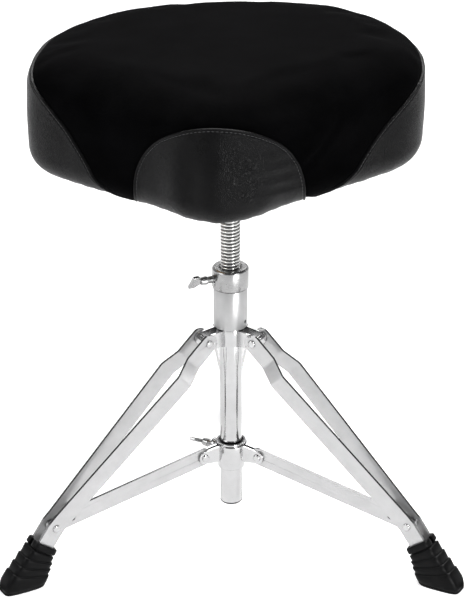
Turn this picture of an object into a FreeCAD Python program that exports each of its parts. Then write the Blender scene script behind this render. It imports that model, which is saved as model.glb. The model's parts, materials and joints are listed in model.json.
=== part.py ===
import FreeCAD, Part
import math
import os

# Drum throne: a saddle seat on a threaded spindle, held by a folding tripod.
# Millimetres.  Origin on the column axis at floor level, +Z up, and the nose of
# the seat points along -Y.

Vector = FreeCAD.Vector
UP = Vector(0, 0, 1)
ORIGIN = Vector(0, 0, 0)

# ---------------------------------------------------------------- column
TUBE_R = 12.7
TUBE_WALL = 1.5
TUBE_BOTTOM = 36.0
PLUG_FLANGE = 3.0
PLUG_DEPTH = 12.0
EDGE_BREAK = 1.0           # chamfer of the turned column pieces
NUT_BEVEL = 2.0
SLEEVE_R = 19.0
SLEEVE_BOTTOM = 259.0
NUT_R = 20.5
NUT_BOTTOM = 306.0
NUT_TOP = 331.0
SLEEVE_SCREW_R = 2.2
SLEEVE_SCREW_Z = 267.0

# ---------------------------------------------------------------- spindle
THREAD_R = 11.0
SPINDLE_BOTTOM = 200.0
SPINDLE_TOP = 446.0
RUNNING_GAP = 0.05

# ---------------------------------------------------------------- tripod
LEG_ANGLES = {"left": 210.0, "right": 330.0, "rear": 90.0}
LEG_PIVOT = Vector(34.0, 0, 248.0)
FOOT_RIVET = Vector(229.0, 0, 68.0)
EAR_PIVOT = Vector(36.0, 0, 100.2)
STRAP_WIDTH = 20.0
STRAP_THICK = 3.0
STRAP_TOP_GAP = 9.3        # half the space between a leg's two straps, at the pivot
STRAP_WIDE_GAP = 18.0      # and below the jog
STRAP_FOOT_GAP = 6.0       # and at the foot
JOG_START = 28.0
JOG_END = 50.0
FOOT_STRAIGHT = 255.0
JOG_FILLET = 8.0
FOOT_BEND = 11.0           # degrees that the straps steepen below the foot rivet
STRAP_TAIL = 48.0
RIVET_R = 3.0
RIVET_HEAD_R = 4.3
RIVET_HEAD = 2.0

STAY_THICK = 3.0
STAY_TIP_R = 7.6
STAY_SLOT_HALF = 4.9       # clears the foot rivet while the tripod folds
STAY_SLOT_LENGTH = 23.6
EAR_THICK = 2.5
EAR_END_R = 7.6

COLLAR_R = 15.7
COLLAR_BOTTOM = 80.0
COLLAR_TOP = 111.0
COLLAR_RIM_R = 16.6        # two beads at the collar's upper end
COLLAR_BEAD = 2.2
COLLAR_LIP = 2.4
BOSS_R = 8.0
BOSS_DEPTH = 6.0
SEGMENT_HEIGHT = 20.0      # stamped segments, upper and lower
UPPER_SEGMENT_THICK = 2.5
LOWER_SEGMENT_THICK = 2.2
SIDE_PLAY = 0.3            # between an ear and the bar that turns beside it

# ---------------------------------------------------------------- rubber foot
BOOT_MOUTH = 22.0          # distances along the boot from the foot rivet
BOOT_POCKET_END = 62.0
BOOT_HALF_WIDTH = 13.5
BOOT_NOTCH_HALF = 2.4      # slot in the outer wall for the stay's tip
BOOT_NOTCH_DEPTH = 9.0
# outline of the cap ring, three bands and the toe: distance along the boot, and across it
BOOT_OUTER = [(22, 14), (30, 14.5), (30, 12.5), (32, 12.5), (32.3, 14.8), (43, 14.4), (43.6, 16.4),
              (54.5, 16), (55.2, 18.2), (66, 17.8), (66.6, 19.4), (76, 20.6), (90, 20), (110, 14)]
BOOT_INNER = [(110, -26), (58, -24.5), (52.4, -23), (51.6, -21), (45.2, -20.6), (44.6, -19), (38.4, -18.6),
              (37.8, -17), (31.6, -16.4), (31.2, -12.5), (30, -12.5), (30, -14.5), (22, -14)]

# ---------------------------------------------------------------- wing bolts
BOLT_R = 4.0
WING_LENGTH = 26.0
WING_HEIGHT = 13.0
WING_THICK = 4.0
WING_ROOT = 6.0            # length over which the wing widens
WING_EDGE = 1.2
SHOULDER_R = 5.0
SHOULDER_LENGTH = 7.0
UPPER_BOLT_ANGLE = 202.0
LOWER_BOLT_ANGLE = 150.0
UPPER_BOLT_TILT = 48.0     # degrees that each wing is turned about its bolt
LOWER_BOLT_TILT = 30.0
UPPER_BOLT_Z = 318.5
LOWER_BOLT_Z = 100.2

# ---------------------------------------------------------------- seat
SEAT_CENTRE = Vector(-4.0, 25.0, 0)
SEAT_YAW = 1.6             # degrees that the nose turns towards -X
SEAT_BOTTOM = 453.0
SEAT_TOP = 584.0
TOP_ROUND = 37.5
BOTTOM_ROUND = 30.0
# plan radius of the cushion at these angles from the nose, mirrored to both sides
OUTLINE = [(0, 212.0), (11, 202.0), (22, 184.0), (41, 176.5), (58, 189.0), (76, 213.0), (95, 209.0),
           (125, 194.0), (152, 175.5), (180, 163.0)]
COVER_THICK = 2.0
COVER_FLANGE = 45.0
BOARD_THICK = 12.0
DUST_COVER = 1.0
BAND_LOW = 440.0           # the side band's edge is a quarter ellipse from this height
BAND_TOP = 569.0           # up to here, and runs level to the back
BAND_FRONT_Y = -98.0
BAND_LEVEL_Y = 20.0
NOSE_HALF_WIDTH = 89.0     # the nose panel's edge is a half ellipse on two upright sides
NOSE_SHOULDER = 472.0
NOSE_APEX = 565.0
NOSE_CENTRE_X = -6.5
NOSE_DEPTH = -70.0         # the nose panel lies in front of this
FAR = 300.0                # beyond the seat on any side
PLATE_THICK = 3.0
PLATE_SIZE = 130.0
PLATE_CORNER_R = 18.0
SOCKET_R = 16.5
SOCKET_BOTTOM = 398.0
SEAT_SCREW_R = 3.0
SEAT_SCREW_HEAD_R = 5.5
SEAT_SCREW_HEAD = 4.0
WASHER_R = 7.5
WASHER_THICK = 1.0
INSERT_WALL = 2.0
SEAT_SCREW_SPACING = 100.0
CLAMP_Z = 412.0
CLAMP_REACH = 8.0          # clamp bolt beyond the socket wall
CLAMP_HEAD_R = 6.5
CLAMP_SLIT = 3.0
LUG_THICK = 6.0
LUG_HEIGHT = 28.0


# ================================================================ helpers
def cylinder(radius, z_low, z_high, centre=ORIGIN):
    return Part.makeCylinder(radius, z_high - z_low, Vector(centre.x, centre.y, z_low), UP)


def pipe(r_out, r_in, z_low, z_high, centre=ORIGIN):
    return cylinder(r_out, z_low, z_high, centre).cut(cylinder(r_in, z_low - 1, z_high + 1, centre))


def box(low, high):
    size = Vector(*high) - Vector(*low)
    return Part.makeBox(size.x, size.y, size.z, Vector(*low))


def revolved(profile):
    """Solid of revolution about Z from (radius, z) points."""
    points = [Vector(r, 0, z) for r, z in profile]
    wire = Part.makePolygon(points + points[:1])
    return Part.Face(wire).revolve(ORIGIN, UP, 360)


def y_pin(radius, centre, y_low, y_high):
    """Cylinder along Y through a point of the XZ plane."""
    return Part.makeCylinder(radius, y_high - y_low, Vector(centre.x, y_low, centre.z), Vector(0, 1, 0))


def bar(start, end, half_width, y_low, y_high):
    """Flat bar with round ends in the XZ plane, extruded along Y."""
    along = (end - start).normalize()
    side = Vector(-along.z, 0, along.x) * half_width
    edges = [
        Part.makeLine(start + side, end + side),
        Part.Arc(end + side, end + along * half_width, end - side).toShape(),
        Part.makeLine(end - side, start - side),
        Part.Arc(start - side, start - along * half_width, start + side).toShape(),
    ]
    face = Part.Face(Part.Wire(edges))
    face.translate(Vector(0, y_low, 0))
    return face.extrude(Vector(0, y_high - y_low, 0))


def turned(shape, angle):
    """Copy of a shape turned about the column axis."""
    copy = shape.copy()
    copy.rotate(ORIGIN, UP, angle)
    return copy


def export(node, shape):
    shape.exportStep("parts/%s.step" % node)


def fused(pieces):
    return pieces[0].fuse(pieces[1:]).removeSplitter() if len(pieces) > 1 else pieces[0]


def rivet(centre, y_half, head_y):
    """Pin across a clevis with a domed head outside each cheek."""
    head = []
    for sign in (-1, 1):
        y_near = sign * head_y
        y_far = sign * (head_y + RIVET_HEAD)
        disc = y_pin(RIVET_HEAD_R, centre, min(y_near, y_far), max(y_near, y_far))
        rim = [edge for edge in disc.Edges if abs(edge.BoundBox.YMin - y_far) < 1e-6 and edge.Closed]
        head.append(disc.makeFillet(RIVET_HEAD * 0.8, rim[:1]))
    return fused([y_pin(RIVET_R, centre, -y_half, y_half)] + head)


# ================================================================ column
def build_column():
    tube = pipe(TUBE_R, TUBE_R - TUBE_WALL, TUBE_BOTTOM, NUT_BOTTOM)
    export("centre_tube", tube)

    bore = TUBE_R - TUBE_WALL
    flange_low = TUBE_BOTTOM - PLUG_FLANGE
    plug_top = TUBE_BOTTOM + PLUG_DEPTH
    plug = revolved([(0, flange_low), (TUBE_R - 2, flange_low), (TUBE_R, flange_low + 2),
                     (TUBE_R, TUBE_BOTTOM), (bore, TUBE_BOTTOM), (bore, plug_top), (0, plug_top)])
    export("tube_plug", plug)

    sleeve = revolved([(TUBE_R, SLEEVE_BOTTOM), (SLEEVE_R - EDGE_BREAK, SLEEVE_BOTTOM),
                       (SLEEVE_R, SLEEVE_BOTTOM + EDGE_BREAK), (SLEEVE_R, NUT_BOTTOM), (TUBE_R, NUT_BOTTOM)])
    screw_at = LEG_ANGLES["right"]
    screw_face = SLEEVE_R - 0.8
    export("sleeve_screw", radial_cylinder(SLEEVE_SCREW_R, TUBE_R, screw_face, SLEEVE_SCREW_Z, screw_at))
    pocket = radial_cylinder(SLEEVE_SCREW_R, TUBE_R, TUBE_R + SLEEVE_R, SLEEVE_SCREW_Z, screw_at)
    export("column_sleeve", sleeve.cut(pocket))

    thread_bore = THREAD_R + RUNNING_GAP
    lead_in = 2.5
    nut = revolved([(thread_bore, NUT_BOTTOM), (NUT_R - EDGE_BREAK, NUT_BOTTOM),
                    (NUT_R, NUT_BOTTOM + EDGE_BREAK), (NUT_R, NUT_TOP - NUT_BEVEL),
                    (NUT_R - NUT_BEVEL, NUT_TOP), (thread_bore + lead_in, NUT_TOP),
                    (thread_bore, NUT_TOP - lead_in)])
    hole = radial_cylinder(BOLT_R + RUNNING_GAP, THREAD_R - 4, NUT_R + 5, UPPER_BOLT_Z, UPPER_BOLT_ANGLE)
    export("height_nut", nut.cut(hole))


def radial_cylinder(radius, r_start, r_end, z, angle):
    """Cylinder that points away from the column axis."""
    shape = Part.makeCylinder(radius, r_end - r_start, Vector(r_start, 0, z), Vector(1, 0, 0))
    return turned(shape, angle)


def wing_bolt(r_tip, r_wing, z, angle, tilt):
    """Threaded shank, round shoulder and a flat bevelled wing."""
    shank = Part.makeCylinder(BOLT_R, r_wing - r_tip + 1, Vector(r_tip, 0, z), Vector(1, 0, 0))
    shoulder_at = Vector(r_wing + 1.0 - SHOULDER_LENGTH, 0, z)
    shoulder = Part.makeCone(SHOULDER_R, BOLT_R + 0.2, SHOULDER_LENGTH, shoulder_at, Vector(1, 0, 0))
    root_half = WING_HEIGHT * 0.32
    half = WING_LENGTH / 2
    outline = [(r_wing, -root_half), (r_wing + WING_ROOT, -half), (r_wing + WING_HEIGHT, -half),
               (r_wing + WING_HEIGHT, half), (r_wing + WING_ROOT, half), (r_wing, root_half)]
    points = [Vector(x, y, z - WING_THICK / 2) for x, y in outline]
    wing = Part.Face(Part.makePolygon(points + points[:1])).extrude(Vector(0, 0, WING_THICK))
    wing = wing.makeFillet(WING_EDGE, wing.Edges)
    bolt = fused([shank, shoulder, wing])
    bolt.rotate(Vector(0, 0, z), Vector(1, 0, 0), tilt)
    return turned(bolt, angle)


# ================================================================ brackets
def segment(ring_r, thick, ear_y, pivot):
    """Stamped bracket: one third of a ring between two legs, with an ear beside each of them.

    Built from the leg at angle 0 to the leg at angle 120.
    """
    z_low = pivot.z - SEGMENT_HEIGHT / 2
    z_high = pivot.z + SEGMENT_HEIGHT / 2
    ring = pipe(ring_r + thick, ring_r, z_low, z_high)
    reach = 60.0
    wedge = Part.makeCylinder(reach, SEGMENT_HEIGHT, Vector(0, 0, z_low), UP, 120)
    slot = box((0, -ear_y, z_low - 1), (reach, ear_y, z_high + 1))
    arc = ring.common(wedge).cut(slot).cut(turned(slot, 120))
    ear = tapered_ear(ring_r, pivot, ear_y).cut(cylinder(ring_r, z_low - 1, z_high + 1))
    ear = ear.cut(y_pin(RIVET_R, pivot, ear_y - 1, ear_y + EAR_THICK + 1))
    mirrored = ear.mirror(ORIGIN, Vector(0, 1, 0))
    return fused([arc, ear, turned(mirrored, 120)])


def tapered_ear(ring_r, pivot, y_low):
    """Flat lug, as high as the segment at the ring and round at the pivot."""
    half = SEGMENT_HEIGHT / 2
    reach = pivot.x - ring_r
    distance = math.hypot(reach, half)
    lean = math.atan2(half, reach) - math.asin(EAR_END_R / distance)
    touch = Vector(EAR_END_R * math.sin(lean), 0, EAR_END_R * math.cos(lean))
    mirror = Vector(touch.x, 0, -touch.z)
    top = Vector(ring_r, 0, pivot.z + half)
    bottom = Vector(ring_r, 0, pivot.z - half)
    inside = Vector(ring_r * 0.7, 0, 0)
    edges = [
        Part.makeLine(top, pivot + touch),
        Part.Arc(pivot + touch, pivot + Vector(EAR_END_R, 0, 0), pivot + mirror).toShape(),
        Part.makeLine(pivot + mirror, bottom),
        Part.makeLine(bottom, bottom - inside),
        Part.makeLine(bottom - inside, top - inside),
        Part.makeLine(top - inside, top),
    ]
    face = Part.Face(Part.Wire(edges))
    face.translate(Vector(0, y_low, 0))
    return face.extrude(Vector(0, EAR_THICK, 0))


def build_brackets():
    upper_ear_y = STRAP_TOP_GAP - SIDE_PLAY - EAR_THICK
    lower_ear_y = STAY_THICK / 2 + SIDE_PLAY
    gaps = {"front": LEG_ANGLES["left"], "right": LEG_ANGLES["right"], "left": LEG_ANGLES["rear"]}
    for name, angle in gaps.items():
        upper = segment(TUBE_R, UPPER_SEGMENT_THICK, upper_ear_y, LEG_PIVOT)
        export("upper_bracket_%s" % name, turned(upper, angle))
        lower = segment(COLLAR_R, LOWER_SEGMENT_THICK, lower_ear_y, EAR_PIVOT)
        lower = turned(lower, angle)
        if name == "left":
            lower = lower.cut(lower_bolt_hole())
        export("collar_segment_%s" % name, lower)


def lower_bolt_hole():
    return radial_cylinder(BOLT_R + RUNNING_GAP, 0, 2 * SLEEVE_R, LOWER_BOLT_Z, LOWER_BOLT_ANGLE)


def build_collar():
    bore = TUBE_R + RUNNING_GAP
    bead_two = COLLAR_TOP - 0.6
    bead_one = bead_two - COLLAR_BEAD - 1.4
    groove_r = COLLAR_RIM_R - 0.7
    sleeve = revolved([(bore, COLLAR_BOTTOM), (COLLAR_R - 0.8, COLLAR_BOTTOM), (COLLAR_R, COLLAR_BOTTOM + 0.8),
                       (COLLAR_R, bead_one - COLLAR_BEAD - 0.8), (COLLAR_RIM_R, bead_one - COLLAR_BEAD),
                       (COLLAR_RIM_R, bead_one), (groove_r, bead_one + 0.6), (COLLAR_RIM_R, bead_one + 1.2),
                       (COLLAR_RIM_R, bead_two), (COLLAR_RIM_R - 0.6, COLLAR_TOP), (bore, COLLAR_TOP)])
    hole = lower_bolt_hole()
    segments = pipe(2 * SLEEVE_R, COLLAR_R, EAR_PIVOT.z - SEGMENT_HEIGHT / 2, EAR_PIVOT.z + SEGMENT_HEIGHT / 2)
    export("collar_sleeve", sleeve.cut(segments).cut(hole))

    lip_top = COLLAR_TOP + COLLAR_LIP
    lip_bore = COLLAR_R - 1.2
    lip_r = COLLAR_RIM_R + 0.3
    lip = revolved([(lip_bore, COLLAR_TOP), (COLLAR_RIM_R, COLLAR_TOP), (lip_r, COLLAR_TOP + COLLAR_LIP / 2),
                    (COLLAR_RIM_R, lip_top), (lip_bore, lip_top)])
    export("collar_lip", lip)

    boss_start = COLLAR_R + LOWER_SEGMENT_THICK
    boss = radial_cylinder(BOSS_R, boss_start, boss_start + BOSS_DEPTH, LOWER_BOLT_Z, LOWER_BOLT_ANGLE)
    export("collar_boss_nut", boss.cut(hole).cut(cylinder(boss_start, COLLAR_BOTTOM, COLLAR_TOP + COLLAR_LIP)))


# ================================================================ legs
LEG_LENGTH = (FOOT_RIVET - LEG_PIVOT).Length
LEG_TILT = math.degrees(math.atan2(LEG_PIVOT.z - FOOT_RIVET.z, FOOT_RIVET.x - LEG_PIVOT.x))
TAIL_ANGLE = math.radians(LEG_TILT + FOOT_BEND)
TAIL_DIRECTION = Vector(math.cos(TAIL_ANGLE), 0, -math.sin(TAIL_ANGLE))
TAIL_SIDE = Vector(math.sin(TAIL_ANGLE), 0, math.cos(TAIL_ANGLE))


def strap():
    """Leg strap on the +Y side: parallel at the pivot, jogged outwards, then closing towards the foot."""
    half = STRAP_WIDTH / 2
    reach = 40.0
    leg = bar(LEG_PIVOT, FOOT_RIVET, half, -reach, reach)
    tail = bar(FOOT_RIVET, FOOT_RIVET + TAIL_DIRECTION * (STRAP_TAIL - half), half, -reach, reach)
    outline = leg.fuse(tail)
    inner = [(-reach, STRAP_TOP_GAP), (JOG_START, STRAP_TOP_GAP), (JOG_END, STRAP_WIDE_GAP),
             (FOOT_STRAIGHT, STRAP_FOOT_GAP), (LEG_LENGTH + 2 * reach, STRAP_FOOT_GAP)]
    outer = [(x, y + STRAP_THICK) for x, y in reversed(inner)]
    points = [Vector(x, y, -2 * reach) for x, y in inner + outer]
    sheet = Part.Face(Part.makePolygon(points + points[:1])).extrude(Vector(0, 0, 4 * reach))
    bends = [edge for edge in sheet.Edges
             if edge.BoundBox.ZLength > 3 * reach and JOG_START - 5 < edge.BoundBox.XMin < JOG_END + 5]
    sheet = sheet.makeFillet(JOG_FILLET, bends)
    sheet.rotate(ORIGIN, Vector(0, 1, 0), LEG_TILT)
    sheet.translate(LEG_PIVOT)
    return outline.common(sheet)


def boot():
    """Ribbed rubber foot, drawn along the straps' tails and cut flat at the floor."""
    body = tail_prism(BOOT_OUTER + BOOT_INNER, BOOT_HALF_WIDTH)
    above_floor = box((0, -2 * BOOT_HALF_WIDTH, 0), (2 * FOOT_RIVET.x, 2 * BOOT_HALF_WIDTH, 2 * FOOT_RIVET.z))
    body = body.common(above_floor)
    half = STRAP_WIDTH / 2
    above_mouth = BOOT_MOUTH - 5
    notch_end = BOOT_MOUTH + BOOT_NOTCH_DEPTH
    pocket = tail_rectangle(above_mouth, BOOT_POCKET_END, -half, half, STRAP_FOOT_GAP + STRAP_THICK)
    notch = tail_rectangle(above_mouth, notch_end, half / 2, 3 * half, BOOT_NOTCH_HALF)
    return body.cut(pocket).cut(notch)


def tail_prism(corners, y_half):
    points = [FOOT_RIVET + TAIL_DIRECTION * along + TAIL_SIDE * side for along, side in corners]
    face = Part.Face(Part.makePolygon(points + points[:1]))
    face.translate(Vector(0, -y_half, 0))
    return face.extrude(Vector(0, 2 * y_half, 0))


def tail_rectangle(start, end, side_low, side_high, y_half):
    return tail_prism([(start, side_low), (start, side_high), (end, side_high), (end, side_low)], y_half)


def stay():
    """Flat bar from the sliding collar to the foot, slotted at the foot end so that the tripod can fold."""
    half = STRAP_WIDTH / 2
    along = (FOOT_RIVET - EAR_PIVOT).normalize()
    thick = STAY_THICK / 2
    wide = bar(EAR_PIVOT, FOOT_RIVET - along * 9, half, -thick, thick)
    tip = bar(FOOT_RIVET - along * 12, FOOT_RIVET, STAY_TIP_R, -thick, thick)
    slot = bar(FOOT_RIVET - along * STAY_SLOT_LENGTH, FOOT_RIVET, STAY_SLOT_HALF, -STAY_THICK, STAY_THICK)
    eye = y_pin(RIVET_R + RUNNING_GAP, EAR_PIVOT, -STAY_THICK, STAY_THICK)
    return wide.fuse(tip).removeSplitter().cut(slot).cut(eye)


def build_legs():
    plus_strap = strap()
    plus_strap = plus_strap.cut(y_pin(RIVET_R + RUNNING_GAP, LEG_PIVOT, 0, 2 * STRAP_WIDE_GAP))
    plus_strap = plus_strap.cut(y_pin(RIVET_R, FOOT_RIVET, 0, 2 * STRAP_WIDE_GAP))
    minus_strap = plus_strap.mirror(ORIGIN, Vector(0, 1, 0))
    strap_y = STRAP_TOP_GAP + STRAP_THICK
    foot_y = STRAP_FOOT_GAP + STRAP_THICK
    pivot = rivet(LEG_PIVOT, strap_y + SIDE_PLAY / 2, strap_y + SIDE_PLAY / 2)
    foot = rivet(FOOT_RIVET, foot_y, foot_y)
    ear_y = STAY_THICK / 2 + SIDE_PLAY + EAR_THICK
    ear = rivet(EAR_PIVOT, ear_y, ear_y)
    spacer_r = RIVET_R + 2.0
    spacers = []
    for sign in (-1, 1):
        near = sign * (STAY_THICK / 2 + SIDE_PLAY)
        far = sign * STRAP_FOOT_GAP
        low, high = min(near, far), max(near, far)
        hole = y_pin(RIVET_R, FOOT_RIVET, low - 1, high + 1)
        spacers.append(y_pin(spacer_r, FOOT_RIVET, low, high).cut(hole))
    rubber = boot()
    brace = stay()
    sides = {"left": ("front", "back"), "right": ("back", "front"), "rear": ("left", "right")}
    for leg, angle in LEG_ANGLES.items():
        plus, minus = sides[leg]
        export("%s_leg_%s_strap" % (leg, plus), turned(plus_strap, angle))
        export("%s_leg_%s_strap" % (leg, minus), turned(minus_strap, angle))
        export("%s_leg_pivot_rivet" % leg, turned(pivot, angle))
        export("%s_foot_rivet" % leg, turned(foot, angle))
        export("%s_foot_spacers" % leg, turned(Part.makeCompound(spacers), angle))
        export("%s_stay" % leg, turned(brace, angle))
        export("%s_stay_rivet" % leg, turned(ear, angle))
        export("%s_rubber_foot" % leg, turned(rubber, angle))


# ================================================================ spindle
def build_spindle():
    bevel = 1.5
    export("threaded_spindle", revolved([
        (0, SPINDLE_BOTTOM), (THREAD_R - bevel, SPINDLE_BOTTOM), (THREAD_R, SPINDLE_BOTTOM + bevel),
        (THREAD_R, SPINDLE_TOP - bevel), (THREAD_R - bevel, SPINDLE_TOP), (0, SPINDLE_TOP)]))


# ================================================================ seat
def outline_wire(inset, z):
    """Closed smooth plan outline of the cushion, moved inwards by inset."""
    mirrored = [(-angle, radius) for angle, radius in OUTLINE[1:-1]]
    stations = OUTLINE + mirrored[::-1]
    raw = []
    for angle, radius in stations:
        turn = math.radians(angle - 90.0 - SEAT_YAW)
        raw.append(Vector(math.cos(turn) * radius, math.sin(turn) * radius, 0))
    curve = Part.BSplineCurve()
    curve.interpolate(Points=raw, PeriodicFlag=True)
    count = 32
    first, last = curve.FirstParameter, curve.LastParameter
    moved = []
    for i in range(count):
        at = first + (last - first) * i / count
        tangent = curve.tangent(at)[0]
        inward = Vector(-tangent.y, tangent.x, 0)
        moved.append(curve.value(at) + inward * inset + SEAT_CENTRE + Vector(0, 0, z))
    smooth = Part.BSplineCurve()
    smooth.interpolate(Points=moved, PeriodicFlag=True)
    return Part.Wire(smooth.toShape())


def cushion_form(inset):
    """Cushion body with rounded bottom and top edges, smaller by inset all round."""
    levels = []
    for step in (0.0, 0.3, 0.6, 1.0):
        turn = step * math.pi / 2
        levels.append((SEAT_BOTTOM + inset + (BOTTOM_ROUND - inset) * (1 - math.cos(turn)),
                       inset + (BOTTOM_ROUND - inset) * (1 - math.sin(turn))))
    for step in (0.0, 0.25, 0.5, 0.75, 1.0):
        turn = step * math.pi / 2
        levels.append((SEAT_TOP - TOP_ROUND + (TOP_ROUND - inset) * math.sin(turn),
                       inset + (TOP_ROUND - inset) * (1 - math.cos(turn))))
    return Part.makeLoft([outline_wire(move, z) for z, move in levels], True, True)


def plan_prism(inset, z_low, z_high):
    return Part.Face(outline_wire(inset, z_low)).extrude(Vector(0, 0, z_high - z_low))


def seam_region(wire, depth):
    """Prism from a closed wire, turned with the seat."""
    region = Part.Face(wire).extrude(depth)
    region.rotate(SEAT_CENTRE, UP, -SEAT_YAW)
    return region


def quarter_ellipse(point, first, last, count=13):
    """Smooth edge through point(angle) for angles in degrees."""
    curve = Part.BSplineCurve()
    angles = [math.radians(first + (last - first) * i / (count - 1)) for i in range(count)]
    curve.interpolate([point(angle) for angle in angles])
    return curve.toShape()


def band_region():
    """Everything behind and below the side band's edge."""
    def on_edge(angle):
        y = BAND_LEVEL_Y - (BAND_LEVEL_Y - BAND_FRONT_Y) * math.cos(angle)
        return Vector(-FAR, y, BAND_LOW + (BAND_TOP - BAND_LOW) * math.sin(angle))
    edge = quarter_ellipse(on_edge, 0, 90)
    corners = [Vector(-FAR, BAND_LEVEL_Y, BAND_TOP), Vector(-FAR, FAR, BAND_TOP), Vector(-FAR, FAR, BAND_LOW),
               Vector(-FAR, BAND_FRONT_Y, BAND_LOW)]
    lines = [Part.makeLine(a, b) for a, b in zip(corners, corners[1:])]
    return seam_region(Part.Wire([edge] + lines), Vector(2 * FAR, 0, 0))


def nose_region():
    """Everything in front of the waist and under the nose panel's arched edge."""
    def on_edge(angle):
        z = NOSE_SHOULDER + (NOSE_APEX - NOSE_SHOULDER) * math.sin(angle)
        return Vector(NOSE_CENTRE_X - NOSE_HALF_WIDTH * math.cos(angle), -FAR, z)
    arch = quarter_ellipse(on_edge, 0, 180, 25)
    left, right = NOSE_CENTRE_X - NOSE_HALF_WIDTH, NOSE_CENTRE_X + NOSE_HALF_WIDTH
    corners = [Vector(right, -FAR, NOSE_SHOULDER), Vector(right, -FAR, BAND_LOW), Vector(left, -FAR, BAND_LOW),
               Vector(left, -FAR, NOSE_SHOULDER)]
    lines = [Part.makeLine(a, b) for a, b in zip(corners, corners[1:])]
    return seam_region(Part.Wire([arch] + lines), Vector(0, FAR + NOSE_DEPTH, 0))


def build_covers():
    """Velour top, leatherette side band and leatherette nose panel, split along the seams."""
    opening = plan_prism(COVER_FLANGE, SEAT_BOTTOM - 5, SEAT_BOTTOM + COVER_THICK + 1)
    skin = cushion_form(0.0).cut(cushion_form(COVER_THICK)).cut(opening)
    band = band_region()
    nose = nose_region()
    export("side_band_cover", skin.common(band))
    export("nose_cover", skin.common(nose).cut(band))
    export("top_cover", skin.cut(band).cut(nose))


def build_seat():
    build_covers()
    inner = cushion_form(COVER_THICK)
    board_low = SEAT_BOTTOM + COVER_THICK
    board_top = board_low + BOARD_THICK
    slab = box((-FAR, -FAR, 0), (FAR, FAR, board_top))
    offset = SEAT_SCREW_SPACING / 2
    screws = [Vector(x, y, 0) for x in (-offset, offset) for y in (-offset, offset)]
    screw_holes = fused([cylinder(SEAT_SCREW_R, SOCKET_BOTTOM, board_top + 1, at) for at in screws])
    insert_r = SEAT_SCREW_R + INSERT_WALL
    insert_holes = fused([cylinder(insert_r, SEAT_BOTTOM, board_top + 1, at) for at in screws])

    export("cushion_foam", inner.cut(slab))
    export("seat_board", inner.common(slab).cut(insert_holes))
    inserts = [pipe(insert_r, SEAT_SCREW_R, board_low, board_top, at) for at in screws]
    export("board_inserts", Part.makeCompound(inserts))

    dust_low = board_low - DUST_COVER
    export("dust_cover", plan_prism(COVER_FLANGE, dust_low, board_low).cut(screw_holes))

    half = PLATE_SIZE / 2
    plate_low = dust_low - PLATE_THICK
    plate = box((-half, -half, plate_low), (half, half, dust_low))
    corners = [edge for edge in plate.Edges if edge.BoundBox.ZLength > edge.BoundBox.DiagonalLength * 0.99]
    export("seat_plate", plate.makeFillet(PLATE_CORNER_R, corners).cut(screw_holes))

    build_clamp(plate_low)

    washer_low = plate_low - WASHER_THICK
    bolts, washers = [], []
    for at in screws:
        shank = cylinder(SEAT_SCREW_R, washer_low, board_top - 1, at)
        head = cylinder(SEAT_SCREW_HEAD_R, washer_low - SEAT_SCREW_HEAD, washer_low, at)
        bolts.append(fused([shank, head]))
        washers.append(pipe(WASHER_R, SEAT_SCREW_R, washer_low, plate_low, at))
    export("seat_screws", Part.makeCompound(bolts))
    export("seat_washers", Part.makeCompound(washers))


def build_clamp(plate_low):
    """Socket under the seat plate, slit and clamped on the spindle, with its lugs at the back."""
    bore = THREAD_R + RUNNING_GAP
    socket = pipe(SOCKET_R, bore, SOCKET_BOTTOM, plate_low)
    slit_half = CLAMP_SLIT / 2
    lug_far = SOCKET_R + 15
    slit_top = SOCKET_BOTTOM + LUG_HEIGHT + 4
    slit = box((0, -slit_half, SOCKET_BOTTOM - 1), (lug_far + 1, slit_half, slit_top))
    lugs = []
    for y_low in (-slit_half - LUG_THICK, slit_half):
        low = (bore + 1.5, y_low, SOCKET_BOTTOM)
        lugs.append(box(low, (lug_far, y_low + LUG_THICK, SOCKET_BOTTOM + LUG_HEIGHT)))
    clamp_at = Vector(SOCKET_R + CLAMP_REACH, 0, CLAMP_Z)
    socket = fused([socket] + lugs).cut(slit).cut(y_pin(BOLT_R, clamp_at, -SOCKET_R, SOCKET_R))
    back = LEG_ANGLES["rear"]
    export("seat_socket", turned(socket, back))

    lug_face = slit_half + LUG_THICK
    head_end = lug_face + 4.5
    nut_end = lug_face + 5.5
    shank = y_pin(BOLT_R, clamp_at, 1 - nut_end, lug_face)
    head = y_pin(CLAMP_HEAD_R, clamp_at, lug_face, head_end)
    export("clamp_bolt", turned(fused([shank, head]), back))
    nut = y_pin(CLAMP_HEAD_R + 0.3, clamp_at, -nut_end, -lug_face).cut(y_pin(BOLT_R, clamp_at, -SOCKET_R, 0))
    export("clamp_nut", turned(nut, back))


def build_wing_bolts():
    export("upper_wing_bolt", wing_bolt(THREAD_R + 0.6, NUT_R + 14, UPPER_BOLT_Z, UPPER_BOLT_ANGLE, UPPER_BOLT_TILT))
    export("lower_wing_bolt", wing_bolt(TUBE_R + 0.4, COLLAR_R + 20, LOWER_BOLT_Z, LOWER_BOLT_ANGLE, LOWER_BOLT_TILT))


os.makedirs("parts", exist_ok=True)
build_column()
build_brackets()
build_collar()
build_legs()
build_spindle()
build_seat()
build_wing_bolts()
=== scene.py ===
import json
import math
import random

import bmesh
import bpy
import numpy as np
from mathutils import Matrix, Vector, kdtree, noise


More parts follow.
